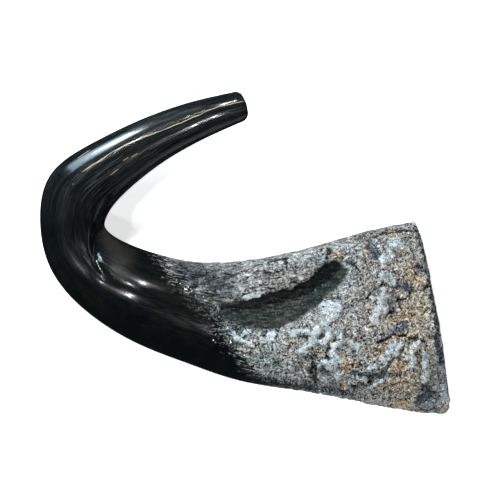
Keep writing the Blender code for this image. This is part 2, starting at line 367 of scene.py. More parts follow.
# %% Ridges, polished smooth, with painted highlights on their tops
# half-width mm, rise mm, tint, line in the finished frame, mm
RIDGES = (
    (2.7, 3.2, PALE_AND_HIGHLIT, ((77, -49), (70, -54), (61, -60), (57, -69), (53, -75), (46, -79))),
    (2.0, 2.4, PALE_AND_HIGHLIT, ((64, -58), (70, -61), (69, -69), (64, -72), (57, -70))),
    (1.7, 2.0, PALE_AND_HIGHLIT, ((39, -66), (47, -63), (56, -64))),
    (3.6, 4.0, PALE_AND_HIGHLIT, ((79, -69), (74, -75), (73, -81), (74, -86), (71, -92))),
    (1.7, 3.0, PALE_AND_HIGHLIT, ((71, -88), (63, -88), (60, -95), (62, -101), (67, -106))),
    (2.1, 1.5, PALE_AND_HIGHLIT, ((71, -91), (76, -95), (78, -103))),
    (2.1, 2.0, PALE_AND_HIGHLIT, ((79, -70), (87, -72), (94, -76))),
    (2.4, 2.0, PAINTED_HIGHLIGHT, ((63, -42), (72, -40))),
    (2.9, 2.0, PALE_AND_HIGHLIT, ((67, -48), (77, -43))),
    (4.4, 3.0, PAINTED_HIGHLIGHT, ((116, -31), (115, -39), (112, -47), (108, -53))),
    (1.5, 2.0, PAINTED_HIGHLIGHT, ((106, -34), (112, -37), (117, -38))),
    # The painted highlight along the lip of the trough
    (2.0, 1.0, PAINTED_HIGHLIGHT, ((0, -36), (8, -33), (15, -31))),
    (3.8, 4.0, PAINTED_HIGHLIGHT, ((147, -75), (141, -79), (139, -85), (141, -91))),
    (3.0, 2.5, PALE_AND_HIGHLIT, ((122, -75), (131, -77))),
    (3.0, 2.5, PALE_AND_HIGHLIT, ((115, -85), (121, -81), (128, -83))),
    (2.5, 2.5, PALE_AND_HIGHLIT, ((105, -93), (113, -89), (121, -86))),
    (2.7, 2.0, PALE_AND_HIGHLIT, ((152, -85), (154, -96), (154, -106))),
    (1.2, 2.0, PALE_AND_HIGHLIT, ((103, -112), (109, -109), (115, -105))),
    (1.5, 2.0, PALE_AND_HIGHLIT, ((88, -107), (93, -104), (99, -104), (103, -108))),
    (2.2, 2.5, PALE_AND_HIGHLIT, ((-12, -65), (-6, -69), (0, -73), (6, -74))),
    (1.2, 1.5, PALE_AND_HIGHLIT, ((-5, -67), (3, -63))),
    # A crescent of painted highlight on a bump
    (2.4, 3.0, PAINTED_HIGHLIGHT, ((-27, -75), (-24, -71), (-22, -68))),
    (2.4, 2.0, PALE_AND_HIGHLIT, ((14, -70), (19, -68), (24, -64))),
    (1.5, 1.5, PAINTED_HIGHLIGHT, ((-1, -80), (4, -78), (10, -79))),
    (3.8, 1.0, PALE_AND_HIGHLIT, ((119, -1), (125, 2))),
    (4.2, 1.0, PALE_AND_HIGHLIT, ((125, 13), (132, 11))),
    (4.2, 1.5, PALE_AND_HIGHLIT, ((117, -16), (124, -21))),
    (3.1, 2.0, PLUM, ((115, -69), (123, -64), (132, -59))),
)

# %% Cracks, and black painted shadow at the foot of a step
# half-width mm, rise mm, tint, line, as for the ridges; so are the strokes below
CRACKS = (
    (0.8, -3.0, BLACK, ((159, -26), (149, -29), (141, -31))),
    (0.8, -2.5, BLACK, ((140, -33), (136, -36), (131, -37))),
    (0.7, -2.0, BLACK, ((115, -24), (121, -25), (128, -26), (132, -24))),
    (0.7, -2.0, BLACK, ((110, -28), (106, -31), (101, -35), (94, -38))),
    (0.9, -3.0, BLACK, ((130, -36), (131, -42), (130, -47), (124, -47), (118, -49))),
    (0.9, -3.0, BLACK, ((110, -72), (118, -69), (125, -67), (137, -67))),
    (0.9, -2.5, BLACK, ((133, -76), (132, -81), (129, -85), (124, -88), (122, -90))),
    (0.9, -2.5, BLACK, ((132, -99), (132, -105), (128, -109), (124, -110))),
    (1.9, -3.0, BLACK, ((140, -69), (145, -71), (149, -73))),
    (1.9, -3.0, BLACK, ((152, -72), (154, -77))),
    (1.2, -3.0, BLACK, ((76, -69), (71, -73), (68, -78), (67, -84))),
    (2.0, -5.0, BLACK, ((98, -108), (102, -110), (106, -108))),
    (1.5, -4.0, BLACK, ((89, -110), (95, -111))),
    # Black painted shadow at the foot of a steep step
    (3.6, -5.0, BLACK, ((56, -87), (57, -94), (58, -102))),
    (0.7, -2.0, BLACK, ((44, -67), (55, -67))),
    (1.0, -2.0, BLACK, ((74, 13), (87, 14), (98, 16), (110, 21), (123, 23), (135, 23), (150, 22))),
    (0.8, -1.5, BLACK, ((110, 17), (121, 19), (135, 21))),
    (0.7, -1.5, BLACK, ((6, -10), (17, -6), (26, -4), (37, -3))),
    (0.7, -1.5, BLACK, ((18, -13), (25, -14), (32, -12))),
    (0.9, -2.0, BLACK, ((34, -5), (35, -11), (32, -15))),
    (0.7, -1.5, BLACK, ((-18, -13), (-10, -16), (-4, -15))),
    (1.5, -2.5, BLACK, ((87, -4), (91, -7), (95, -10))),
)

# %% The crease that the bend folded into the elbow of the hook, and the worn place beside it
CREASE = (
    (2.2, -2.2, BLACK, ((-119, 48), (-125, 34), (-129, 20), (-130, 7), (-127, -5), (-121, -16))),
    (3.0, 0.6, BLACK, ((-129, 38), (-134, 22), (-135, 6), (-132, -7), (-126, -20))),
)
WORN = ((-121, 24), (-112, 10), (-104, -2))
WORN_WIDTH = 9  # mm
WORN_FROM = -130  # x in mm: the worn place stays on the boss's side of the crease

# %% Smooth dark hollows, with painted shade in one and along the bottom edge
POOLS = (
    (1.8, -1.5, BLACK, ((72, 6), (70, -1))),
    (4.7, -5.0, NAVY, ((108, 11), (112, 5), (114, 0))),
    (3.4, -3.0, NAVY, ((149, -9), (153, -10))),
    (3.2, -1.0, NAVY, ((135, -26), (138, -27))),
    (2.7, -1.0, NAVY, ((134, -58), (137, -61))),
    (3.1, -2.0, MOSS, ((106, -102), (113, -101), (118, -99))),
    (2.7, -2.0, MOSS, ((66, -94), (67, -99))),
    # A small hollow darkened by painted shade
    (2.2, -2.5, SHADE, ((62, -65), (64, -67))),
    (2.4, -2.0, NAVY, ((90, -99), (97, -101))),
    (5.1, -2.0, NAVY, ((151, -126), (158, -123))),
    (5.1, -1.0, STEEL_AND_REFLECTION, ((159, -130), (170, -129))),
    (4.2, -1.0, NAVY, ((153, -113), (159, -118))),
    (8.0, -1.5, STEEL_AND_REFLECTION, ((168, -92), (172, -108), (173, -117))),
    (2.5, -1.0, NAVY, ((163, -70), (167, -84), (170, -92))),
    (4.0, -1.0, STEEL_AND_REFLECTION, ((124, -36), (123, -46))),
    # Along the bottom edge: glossy black horn and painted shade where the boss turns away
    (3.2, -0.5, BLACK, ((-51, -91), (-26, -100), (1, -108), (30, -112), (58, -117))),
)

# %% Stains that follow the low places, and painted shade near the trough and along the edges
STAINS = (
    (24.0, 0, WARM, ((148, -30), (134, -52), (142, -76), (138, -104))),
    (8.5, 0, OCHRE, ((114, -82), (121, -76))),
    (7.6, 0, OCHRE, ((131, -56), (144, -51))),
    (4.7, 0, OCHRE, ((146, -87), (156, -88))),
    (5.1, 0, OCHRE, ((130, -93), (131, -109))),
    (4.2, 0, OCHRE, ((104, 12), (106, 4))),
    (3.0, 0, OCHRE, ((76, 0), (84, -1))),
    (6.0, 0, OCHRE, ((141, -10), (146, -21))),
    (3.8, 0, OCHRE, ((124, 17), (133, 19))),
    (5.1, 0, OCHRE, ((175, -133), (177, -124))),
    (5.1, 0, OCHRE, ((132, -128), (142, -128))),
    (6.0, 0, OCHRE, ((80, -88), (87, -95))),
    (3.0, 0, OCHRE, ((83, -109), (85, -114))),
    (8.0, 0, TEAL, ((60, -29), (69, -22), (75, -15))),
    (7.0, 0, FERN, ((-24, -74), (-4, -84), (22, -88))),
    (10.0, 0, LILAC, ((-52, -12), (-36, -19), (-20, -24))),
    # Darker past the trough's left end, as painted shade
    (13.0, 0, SHADE, ((-46, -44), (-30, -50), (-8, -56))),
    # Painted shade along the bottom edge, where the boss turns away from the light
    (6.0, 0, SHADE, ((-51, -82), (-26, -95), (4, -106), (47, -113), (86, -119))),
    # Down the rounded sawn edge: dark sanded horn and painted shade
    (2.2, 0, SHADE, ((151, 21), (154, -5), (159, -33), (163, -59), (166, -78))),
)


# %% Which way the skin faces
FACES_UP = (0.05, 0.5)  # rise of the normal over which a stroke takes hold
CREST_FROM = 60  # mm above the table


def outward_normals(points, grid):
    """The outward direction at each point of a closed grid of rings."""
    shaped = points.reshape(*grid, 3)
    round_ring = np.roll(shaped, -1, axis=1) - np.roll(shaped, 1, axis=1)
    down_horn = np.gradient(shaped, axis=0)
    across = np.cross(down_horn, round_ring).reshape(-1, 3)
    return across / np.maximum(np.linalg.norm(across, axis=1), 1e-9)[:, None]


out = outward_normals(skin, GRID)
faces_up = smoothstep(out[:, 2], *FACES_UP)
on_crest = skin[:, 2] > CREST_FROM
print("outward check, mean rise of the crest's normals:", out[on_crest, 2].mean().round(2))

# %% Where the bark thins out, and where the rolled upper edge is
# The bark ends first on the outer side, and over a shorter way. All in stations.
NECK_AT, NECK_LEAN = 3.2, 1.1
NECK_LENGTH, NECK_SPREAD = 1.3, 1.7
ROLL_SIDE = (0.30, 0.44)  # shares of the way from the inner rail to the outer one
ROLL_FROM = (1.2, 1.9)  # stations

station = np.repeat(station_of_ring, POINTS_ROUND)
inner_edge, outer_edge = (spline([s[k] for s in STATIONS], station) + SHIFT[:2] for k in (0, 1))
width = outer_edge - inner_edge
side = np.clip(((skin[:, :2] - inner_edge) * width).sum(axis=1) / (width**2).sum(axis=1), 0, 1)
past_neck = station - NECK_AT + NECK_LEAN * side
rough = 1 - smoothstep(past_neck / (NECK_LENGTH + NECK_SPREAD * (1 - side) ** 2))
roll = (1 - smoothstep(side, *ROLL_SIDE)) * smoothstep(station, *ROLL_FROM)
print("share of points with bark:", (rough > 0.5).mean().round(2))

# %% Carve the strokes into the body
THICKNESS_VARIES, THICKNESS_SIZE, THICKNESS_SEED = 0.75, 5.5, 7  # share, mm
# The painted shadow round each ridge: how far it reaches outside the ridge, and its dip
RIDGE_SHADOW_WIDTH, RIDGE_SHADOW_RISE = 0.9, -0.3  # mm outside a ridge, mm
PROFILE_POWER = 1.5  # a stroke's profile: 1 is a tent, 2 is a bell

polish, lift, rise = np.zeros((3, len(skin)))
hue = np.ones((len(skin), 3))
thickness = np.ones(len(skin))
thickness[on_boss] += THICKNESS_VARIES * wobble(skin[on_boss], THICKNESS_SIZE, THICKNESS_SEED)


def lay(half_width, height, colour, line, strength, shine, edge):
    """Adds one stroke: its relief, and its tint and polish where it is strong."""
    gap = near_line(drawn, line)[0] / (half_width * thickness)
    mask = (1 - smoothstep(gap, 1 - edge, 1 + edge)) * faces_up * strength
    rise[:] += height * np.exp(-(gap**PROFILE_POWER)) * faces_up
    polish[:] = np.maximum(polish, mask * shine)
    lift[:] = lift * (1 - mask) + colour[1] * mask
    hue[:] = hue * (1 - mask[:, None]) + np.array(colour[0]) * mask[:, None]


for stroke in STAINS:
    lay(*stroke, strength=0.9, shine=0.0, edge=0.8)
for stroke in POOLS:
    lay(*stroke, strength=0.95, shine=0.9, edge=0.4)
# A painted shadow round each ridge, in a shallow dip, laid before the ridge itself
for half_width, _, _, line in RIDGES:
    reach = half_width + RIDGE_SHADOW_WIDTH
    lay(reach, RIDGE_SHADOW_RISE, RIDGE_SHADOW, line, strength=0.65, shine=0.0, edge=0.2)
for stroke in RIDGES:
    lay(*stroke, strength=1.0, shine=0.3, edge=0.25)
for stroke in CRACKS + CREASE:
    lay(*stroke, strength=1.0, shine=0.0, edge=0.5)
skin += out * rise[:, None]
print("strokes:", len(RIDGES + CRACKS + CREASE + POOLS + STAINS))

# %% [markdown]
# ## From numbers to a mesh
#
# The rings become quads. Each point also carries what the later steps need to know about its
# place: how rough it is, how polished, what tint it has, how far it is from the pale hairline
# that runs down the arm, and a grain map that counts real millimetres along and round the
# horn, so that streaks can follow its growth.

# %% Make the body mesh
def closed_mesh(name, loops):
    """A closed mesh lofted through loops of equal count, mm, with all its faces outwards."""
    index = np.arange(loops.shape[0] * loops.shape[1]).reshape(loops.shape[:2])
    near, far = index[:-1], index[1:]
    quads = np.stack([near, np.roll(near, -1, 1), np.roll(far, -1, 1), far], axis=-1)
    caps = [index[0].tolist(), index[-1].tolist()]
    mesh = bpy.data.meshes.new(name)
    points = (loops.reshape(-1, 3) * MM).tolist()
    mesh.from_pydata(points, [], quads.reshape(-1, 4).tolist() + caps)
    edit = bmesh.new()
    edit.from_mesh(mesh)
    bmesh.ops.recalc_face_normals(edit, faces=edit.faces)
    edit.to_mesh(mesh)
    edit.free()
    return mesh


mesh = closed_mesh("horn_body", skin.reshape(*GRID, 3))
horn_body = bpy.data.objects.new("horn_body", mesh)
bpy.context.scene.collection.objects.link(horn_body)
print("body mesh:", len(mesh.vertices), "points,", len(mesh.polygons), "faces")

# %% The grain map
GRAIN_RADIUS = 35  # the grain map is wound on a straight rod of this radius, mm
TIP_RING_STEP = 0.8  # mm of the grain map from ring to ring where the tip rounds over

beyond_end = np.maximum(np.arange(GRID[0]) - len(where_rings), 0) * TIP_RING_STEP
along_mm = np.repeat(np.interp(station_of_ring, fine, travel) + beyond_end, POINTS_ROUND)
turn = np.tile(np.arange(POINTS_ROUND) / POINTS_ROUND * 2 * math.pi, GRID[0])
grain = np.column_stack([np.cos(turn) * GRAIN_RADIUS, np.sin(turn) * GRAIN_RADIUS, along_mm]) * MM
print("grain map, m long:", grain[:, 2].max().round(3))

# %% The pale hairs and the worn place
HAIRLINE = ((-142, 72), (-134, 77), (-125, 82), (-116, 89), (-106, 94), (-97, 98), (-82, 104),
            (-58, 113), (-39, 121), (-30, 125), (-13, 130), (-2, 132))
SHORT_HAIRS = (((-150, 60), (-146, 64)), ((-117, 69), (-109, 75)), ((-107, 81), (-100, 85)),
               ((-98, 85), (-91, 89)), ((-145, 85), (-133, 93)))
HAIR_START, HAIR_STOP = (-1, 6), (-2, 4)  # mm from its ends in which the hairline fades
OUT_OF_SIGHT = 40  # mm added to a hair's distance where the skin faces down

# The side of the long hairline is kept as a sign, so that its distance passes through zero.
to_hair = near_line(skin, HAIRLINE)[0]
hair_y = np.interp(skin[:, 0], *np.array(HAIRLINE).T)
hairline = to_hair * np.sign(skin[:, 1] - hair_y)
hair_fade = smoothstep(skin[:, 0] - HAIRLINE[0][0], *HAIR_START) * faces_up
hair_fade *= 1 - smoothstep(skin[:, 0] - HAIRLINE[-1][0], *HAIR_STOP)
short_hairs = np.min([near_line(skin, line)[0] for line in SHORT_HAIRS], axis=0)
short_hairs += OUT_OF_SIGHT * (1 - faces_up)
worn = np.exp(-((near_line(skin, WORN)[0] / WORN_WIDTH) ** 2))
worn *= (skin[:, 0] > WORN_FROM) * faces_up
print("points on the hairline:", int(((to_hair < 1) * faces_up > 0.5).sum()))

# %% Keep them on the mesh
NUMBERS = {"rough": rough, "polish": polish, "roll": roll, "trough": trough, "dusk": dusk, "lift": lift,
           "hairline": hairline, "hair_fade": hair_fade, "short_hairs": short_hairs, "worn": worn}
VECTORS = {"grain_at": grain, "hue": hue}


def keep(name, kind, values, field):
    """Stores one value for each point of the mesh."""
    layer = mesh.attributes.new(name, kind, "POINT")
    layer.data.foreach_set(field, np.asarray(values, np.float32).ravel())


for name, values in NUMBERS.items():
    keep(name, "FLOAT", values, "value")
for name, values in VECTORS.items():
    keep(name, "FLOAT_VECTOR", values, "vector")
print("kept on the mesh:", *NUMBERS, *VECTORS)

# %% [markdown]
# ## A helper for node trees
#
# Both the relief and the finishes are node trees. One short helper adds a node, sets it up,
# and either writes a value into each input or links another node's output to it. The others
# wrap the kinds of node that are used most, so that a formula still reads like one.


# %% Add one node, and work out one sum
def add(tree, kind, values=None, **settings):
    """A new node with its settings, and its inputs set or linked."""
    node = tree.nodes.new(kind)
    for name, value in settings.items():
        setattr(node, name, value)
    for key, value in (values or {}).items():
        if isinstance(value, bpy.types.NodeSocket):
            tree.links.new(value, node.inputs[key])
        else:
            node.inputs[key].default_value = value
    return node


def worked(tree, operation, first, second=0.0, third=0.0, clamp=False):
    """The result of one math node."""
    values = {0: first, 1: second, 2: third}
    return add(tree, "ShaderNodeMath", values, operation=operation, use_clamp=clamp).outputs[0]


def plus(tree, first, second, clamp=False):
    return worked(tree, "ADD", first, second, clamp=clamp)


def minus(tree, first, second):
    return worked(tree, "SUBTRACT", first, second)


def times(tree, first, second):
    return worked(tree, "MULTIPLY", first, second)


def scaled(tree, value, factor, offset):
    """value * factor + offset."""
    return worked(tree, "MULTIPLY_ADD", value, factor, offset)


def weighed(tree, start, parts):
    """A starting value plus each part times its weight."""
    for part, weight in parts:
        start = scaled(tree, part, weight, start)
    return start


def faded(tree, share, first, second):
    """A number that goes from first to second as share goes from 0 to 1."""
    return scaled(tree, minus(tree, second, first), share, first)


def stretched(tree, vector, factors):
    """A vector with each of its parts times a factor."""
    values = {0: vector, 1: factors}
    return add(tree, "ShaderNodeVectorMath", values, operation="MULTIPLY").outputs[0]


def blended(tree, value, low, high, start=0.0, stop=1.0):
    """Maps low..high smoothly to start..stop."""
    values = {"Value": value, "From Min": low, "From Max": high, "To Min": start, "To Max": stop}
    return add(tree, "ShaderNodeMapRange", values, interpolation_type="SMOOTHSTEP").outputs["Result"]


# %% [markdown]
# ## The bark of the boss
#
# Horn on the boss grows in lumps, breaks into flakes, cracks along its fibres, is pitted all
# over and carries a crust of winding ridges. Each of these is a rule, not a shape, so Geometry
# Nodes make them: noises and cells from 17 mm down to 1.6 mm push the points in or out along
# their normals, stronger where the horn is rough and weaker where it was polished. The tree
# also keeps the fine part of the push at each point, so that the finish can make low places
# darker.

# %% The relief's sizes, in metres
RELIEF_SIZES = {
    "Lump Size": 0.017, "Lump Height": 0.0011,
    "Flake Size": 0.0050, "Flake Height": 0.0009,
    "Pit Size": 0.0026, "Pit Depth": 0.00095,
    "Fibre Width": 0.0016, "Fibre Depth": 0.0006,
    "Crack Depth": 0.0011,
    "Crust Size": 0.0075, "Crust Height": 0.0010,
}
RELIEF_SEED = 3.0
NOISE_ROUGHNESS = 0.62
FLAKE_BEND, FLAKE_BEND_SCALE = 0.0045, 160.0  # m, and waves to a metre
CRACKED_SCALE = 90.0  # waves to a metre of the noise that says where flakes are cracked apart
CRACK_EDGE, CRUST_EDGE = 0.16, 0.10  # how far from its middle line a crack or a ridge ends
ALONG_FIBRE = 0.13  # how far the grain map is squeezed along the horn
FADE_POWER = 1.8  # above 1, the relief dies away before the bark's colour does
POLISHED_OFF, TROUGH_OFF = -0.85, -0.75  # shares of the relief that polish and trough take away


# %% The parts of the relief
def named(tree, name, kind="FLOAT"):
    """A value that the mesh keeps, read inside a Geometry Nodes tree."""
    node = add(tree, "GeometryNodeInputNamedAttribute", {"Name": name}, data_type=kind)
    return node.outputs["Attribute"]


def bark_noise(tree, vector, given, size, strength, detail, warp):
    """A noise from minus to plus strength."""
    values = {"Vector": vector, "W": given["Seed"], "Scale": worked(tree, "DIVIDE", 1.0, size),
              "Detail": detail, "Roughness": NOISE_ROUGHNESS, "Distortion": warp}
    value = add(tree, "ShaderNodeTexNoise", values, noise_dimensions="4D").outputs[0]
    return times(tree, scaled(tree, value, 4.0, -2.0), strength)


def flakes_and_cracks(tree, place, given):
    """Cells that stand at different heights, with bent edges, some of them cracked apart."""
    bend = add(tree, "ShaderNodeTexNoise", {"Vector": place, "Scale": FLAKE_BEND_SCALE, "Detail": 2.0})
    bent = add(tree, "ShaderNodeVectorMath", {0: bend.outputs["Color"], 1: (FLAKE_BEND,) * 3, 2: place},
               operation="MULTIPLY_ADD").outputs[0]
    where = {"Vector": bent, "Scale": worked(tree, "DIVIDE", 1.0, given["Flake Size"])}
    cells = add(tree, "ShaderNodeTexVoronoi", {**where, "Randomness": 1.0}).outputs["Color"]
    level = add(tree, "FunctionNodeSeparateColor", {"Color": cells}).outputs[0]
    flakes = times(tree, times(tree, minus(tree, level, 0.5), given["Flake Height"]), 2.0)
    to_edge = add(tree, "ShaderNodeTexVoronoi", where, feature="DISTANCE_TO_EDGE").outputs["Distance"]
    cracks = blended(tree, to_edge, 0.0, CRACK_EDGE, 1.0, 0.0)
    some = add(tree, "ShaderNodeTexNoise", {"Vector": place, "Scale": CRACKED_SCALE, "Detail": 1.0})
    cracks = times(tree, cracks, blended(tree, some.outputs[0], 0.42, 0.6))
    return flakes, times(tree, cracks, given["Crack Depth"])


def winding_crust(tree, place, given):
    """A net of winding ridges, where a warped noise passes through its middle."""
    values = {"Vector": place, "W": given["Seed"], "Detail": 2.0, "Roughness": 0.5, "Distortion": 1.0,
              "Scale": worked(tree, "DIVIDE", 1.0, given["Crust Size"])}
    field = add(tree, "ShaderNodeTexNoise", values, noise_dimensions="4D").outputs[0]
    off = worked(tree, "ABSOLUTE", minus(tree, field, 0.5))
    return times(tree, blended(tree, off, 0.0, CRUST_EDGE, 1.0, 0.0), given["Crust Height"])


# %% The relief tree
def relief_tree():
    """Pushes each point along its normal, and keeps the fine part of the push, in mm."""
    tree = bpy.data.node_groups.new("boss relief", "GeometryNodeTree")
    tree.is_modifier = True
    sockets = tree.interface
    sockets.new_socket("Geometry", in_out="INPUT", socket_type="NodeSocketGeometry")
    for name in (*RELIEF_SIZES, "Seed"):
        sockets.new_socket(name, in_out="INPUT", socket_type="NodeSocketFloat")
    sockets.new_socket("Finish", in_out="INPUT", socket_type="NodeSocketMaterial")
    sockets.new_socket("Geometry", in_out="OUTPUT", socket_type="NodeSocketGeometry")
    given = add(tree, "NodeGroupInput").outputs
    place = add(tree, "GeometryNodeInputPosition").outputs[0]
    normal = add(tree, "GeometryNodeInputNormal").outputs[0]
    along = stretched(tree, named(tree, "grain_at", "FLOAT_VECTOR"), (1.0, 1.0, ALONG_FIBRE))

    flakes, cracks = flakes_and_cracks(tree, place, given)
    crust = winding_crust(tree, place, given)
    fibres = bark_noise(tree, along, given, given["Fibre Width"], given["Fibre Depth"], 2.0, 0.4)
    lumps = bark_noise(tree, place, given, given["Lump Size"], given["Lump Height"], 2.0, 0.5)
    pits = bark_noise(tree, place, given, given["Pit Size"], given["Pit Depth"], 3.0, 0.6)

    # Where each applies: not on the polished arm, and less in the trough and on the walls.
    rough = worked(tree, "POWER", named(tree, "rough"), FADE_POWER)
    rises = add(tree, "ShaderNodeSeparateXYZ", {0: normal}).outputs["Z"]
    bare = scaled(tree, named(tree, "polish"), POLISHED_OFF, 1.0)
    bare = times(tree, bare, blended(tree, rises, -0.1, 0.5, 0.3, 1.0))
    barked = times(tree, rough, bare)
    share = times(tree, barked, scaled(tree, named(tree, "trough"), TROUGH_OFF, 1.0))

    small = plus(tree, minus(tree, plus(tree, flakes, pits), cracks), crust)
    fine_relief = plus(tree, times(tree, small, share), times(tree, fibres, barked))
    total = plus(tree, fine_relief, times(tree, lumps, share))
    push = add(tree, "ShaderNodeVectorMath", {0: normal, "Scale": total}, operation="SCALE").outputs[0]

    in_mm = times(tree, fine_relief, 1 / MM)
    values = {"Geometry": given["Geometry"], "Name": "relief", "Value": in_mm}
    kept = add(tree, "GeometryNodeStoreNamedAttribute", values, data_type="FLOAT", domain="POINT")
    moved = add(tree, "GeometryNodeSetPosition", {"Geometry": kept.outputs[0], "Offset": push})
    real = add(tree, "GeometryNodeRealizeInstances", {"Geometry": moved.outputs[0]})
    values = {"Geometry": real.outputs[0], "Material": given["Finish"]}
    clad = add(tree, "GeometryNodeSetMaterial", values)
    add(tree, "NodeGroupOutput", {"Geometry": clad.outputs[0]})
    return tree


# %% Grow the bark
def plain_mesh(obj, name):
    """The evaluated object as a plain mesh, with its modifiers gone."""
    graph = bpy.context.evaluated_depsgraph_get()
    ready = obj.evaluated_get(graph)
    result = bpy.data.meshes.new_from_object(ready, preserve_all_data_layers=True, depsgraph=graph)
    result.name = name
    obj.modifiers.clear()
    obj.data = result
    return result


def grow_bark(obj, finish):
    """The object with the relief applied, wearing its finish."""
    tree = relief_tree()
    bark = obj.modifiers.new("bark", "NODES")
    bark.node_group = tree
    inputs = [item for item in tree.interface.items_tree if item.in_out == "INPUT"]
    sockets = {item.name: item.identifier for item in inputs}
    for name, value in RELIEF_SIZES.items():
        bark[sockets[name]] = value
    bark[sockets["Seed"]] = RELIEF_SEED
    bark[sockets["Finish"]] = finish
    return plain_mesh(obj, "horn_bark")


horn_finish = bpy.data.materials.new("polished and barked horn")
core_finish = bpy.data.materials.new("core hollow")
sawn_finish = bpy.data.materials.new("sawn horn")
bark_mesh = grow_bark(horn_body, horn_finish)
heights = np.empty(len(bark_mesh.vertices), np.float32)
bark_mesh.attributes["relief"].data.foreach_get("value", heights)
print("fine relief, mm, from", heights.min().round(2), "to", heights.max().round(2))

# %% [markdown]
# ## Sawing it off the skull
#
# The real horn was parted from the skull with a saw and its bony core pulled out. The same
# three cuts are made here with Booleans: one plane beside the skull's midline, one long arched
# rim under the boss, and the tapering hollow. Each cutter brings its own finish to the face
# that it leaves.

# %% The sizes of the cuts
# The wall's thickness at stations 0 to 8, mm, at the sides and at the crest.
SIDE_WALL = (15, 12, 11, 10, 10, 12, 14, 17, 20)
CREST_WALL = (30, 34, 34, 30, 20, 16, 16, 18, 20)
CAVITY_END, CAVITY_TAPER_FROM, CAVITY_SQUARENESS = 7.6, 3.0, 2.3  # stations, and a squareness
CAVITY_RINGS, CAVITY_POINTS = 40, 64
SMALLEST_SHARE = 0.0004  # keeps the cavity's last ring from shrinking to a point
RIM_ARCH, RIM_LENGTH, RIM_HALF_SPAN, RIM_DEPTH = 4.5, 205, 140, 80  # mm
RIM_SHARES = (-0.08, *np.linspace(0, 1, 33), 1.06)  # the rim block stands proud at both ends
SAW_HALF_SPAN, SAW_TOP, SAW_DEPTH, SAW_THICKNESS = 160, 120, 100, 60  # mm
CUT_CLEARANCE = 12  # mm by which the cavity starts outside the saw cut

cut_inner, cut_outer = (np.array(p, float) for p in STATIONS[0][:2])
cut_edge = (cut_inner - cut_outer) / np.linalg.norm(cut_inner - cut_outer)
cut_middle = (cut_inner + cut_outer) / 2
inward = np.array([-cut_edge[1], cut_edge[0]])
inward = inward if inward[0] < 0 else -inward
print("the saw cut runs along", cut_edge.round(3), "and faces", -inward.round(3))


# %% The three cutters
def cutter(name, loops, finish):
    """A closed solid lofted through loops, wearing the finish of its cut."""
    mesh = closed_mesh(name, np.array(loops) + SHIFT)
    mesh.materials.append(finish)
    return bpy.data.objects.new(name, mesh)


def cavity_loops():
    """The hollow of the bony core, from beyond the saw cut to its rounded end in the arm."""
    where = CAVITY_END * np.sin(np.linspace(0, math.pi / 2, CAVITY_RINGS))
    inner, outer, crest, wide, low, squareness = horn_frames(where)
    side = spline(SIDE_WALL, where)[:, None]
    top = spline(CREST_WALL, where)
    reach = (where - CAVITY_TAPER_FROM) / (CAVITY_END - CAVITY_TAPER_FROM)
    size = np.sqrt(np.clip(1 - np.clip(reach, 0, 1) ** 2, SMALLEST_SHARE, 1))
    middle = (inner + outer) / 2
    half = (inner - outer) / 2
    length = np.linalg.norm(half, axis=1)[:, None]
    half = half * (length - side) / length * size[:, None]
    level = (crest - top + low + side[:, 0]) / 2
    level = wide + (level - wide) * (1 - size)
    roof = level + (crest - top - level) * size
    floor = level - (level - low - side[:, 0]) * size
    squareness = np.minimum(squareness, CAVITY_SQUARENESS)
    turn = np.linspace(0, 2 * math.pi, CAVITY_POINTS, endpoint=False)
    loops = [section(turn, *values) for values in zip(middle, half, roof, level, floor, squareness)]
    return [loops[0] - np.append(inward, 0) * CUT_CLEARANCE, *loops]


def upright_loop(middle, half_span, top, depth):
    """Four corners of an upright oblong that runs along the saw cut's edge."""
    sides = ((1, top), (-1, top), (-1, -depth), (1, -depth))
    return [[*(middle + cut_edge * way * half_span), z] for way, z in sides]


def rim_loops():
    """The block under the boss whose arched top is the sawn rim."""
    arches = [RIM_ARCH * math.sin(math.pi * min(max(share, 0), 1)) for share in RIM_SHARES]
    return [upright_loop(cut_middle + inward * share * RIM_LENGTH, RIM_HALF_SPAN, arch, RIM_DEPTH)
            for share, arch in zip(RIM_SHARES, arches)]


def saw_loops():
    """The block beyond the saw cut."""
    return [upright_loop(cut_middle - inward * out_by, SAW_HALF_SPAN, SAW_TOP, SAW_DEPTH)
            for out_by in (0, SAW_THICKNESS)]


# %% Make the cuts
SHARP_FROM = 62  # degrees between two faces past which the edge between them stays sharp


def saw_and_hollow(obj):
    """The object with its three cuts made."""
    cutters = [cutter("saw", saw_loops(), sawn_finish), cutter("rim_saw", rim_loops(), sawn_finish),
               cutter("core_cavity", cavity_loops(), core_finish)]
    for tool in cutters:
        bpy.context.scene.collection.objects.link(tool)
        boolean = obj.modifiers.new(tool.name, "BOOLEAN")
        boolean.operation = "DIFFERENCE"
        boolean.solver = "EXACT"
        boolean.material_mode = "TRANSFER"
        boolean.object = tool
    result = plain_mesh(obj, "horn_sheath")
    for tool in cutters:
        bpy.data.objects.remove(tool)
    return result


sheath_mesh = saw_and_hollow(horn_body)
horn_body.name = "horn_sheath"
sheath_mesh.shade_smooth()
sheath_mesh.set_sharp_from_angle(angle=math.radians(SHARP_FROM))
print("sheath:", sum(len(p.vertices) - 2 for p in sheath_mesh.polygons), "triangles, finishes:",
      [m.name for m in sheath_mesh.materials])

# %% [markdown]
# ## Effects that the finishes share
#
# Polished skin, raw hollow and sawn face are all the same keratin, so they share their effects.
# The grain is fine streaks along the way the horn grew, and the speckle is a scatter of fine
# pits. A third, the wrinkle, is for the bark only: thin winding lines. Each is a small node
# group with named inputs, built once and placed wherever it is needed with its own sizes.


